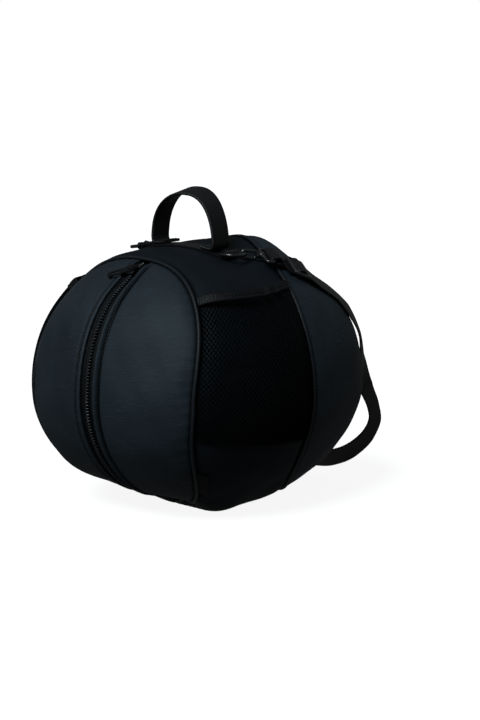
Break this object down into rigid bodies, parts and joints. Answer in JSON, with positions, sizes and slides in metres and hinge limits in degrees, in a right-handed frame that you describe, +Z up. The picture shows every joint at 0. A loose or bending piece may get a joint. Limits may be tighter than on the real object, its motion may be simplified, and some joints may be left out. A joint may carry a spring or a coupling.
{
  "type": "ball bag",
  "caption": "Round soft bag for a sports ball, with a zipped front dome, piped gusset, mesh side pockets, webbing handle and a hooked-on shoulder strap.",
  "frame": {"origin": "On the floor, in the flattened base under the middle of the body", "axes": "+Z up, -Y towards the zipped front dome, +X towards the side whose pocket the picture shows"},
  "size_m": [0.2988, 0.33, 0.3124],
  "materials": {
    "shell_cloth": "near-black plain polyester with a faint sheen",
    "band_cloth": "near-black plain polyester, a little duller",
    "piping": "black cloth-covered cord",
    "mesh": "black diamond mesh",
    "binding": "black elastic binding",
    "zip_tape": "black woven zip tape",
    "zip_coil": "black nylon coil",
    "zip_metal": "black lacquered metal",
    "webbing": "black ribbed polypropylene webbing",
    "hardware": "black moulded plastic",
    "label": "bare black woven tab"
  },
  "bodies": {
    "root": {"front_panel_left": "shell_cloth", "front_panel_right": "shell_cloth", "back_panel": "shell_cloth", "top_band": "band_cloth", "base_band": "band_cloth", "piping_front": "piping", "piping_back": "piping", "pocket_mesh_left": "mesh", "pocket_mesh_right": "mesh", "pocket_hem_left": "binding", "pocket_hem_right": "binding", "zip_tape_left": "zip_tape", "zip_tape_right": "zip_tape", "zip_coil": "zip_coil", "zip_slider": "zip_metal", "zip_pull": "zip_metal", "handle": "webbing", "ring_strip": "webbing", "shoulder_strap": "webbing", "d_ring_left": "hardware", "d_ring_right": "hardware", "hook_left": "hardware", "hook_right": "hardware", "strap_slider": "hardware", "label_tab": "label"}
  },
  "joints": []
}
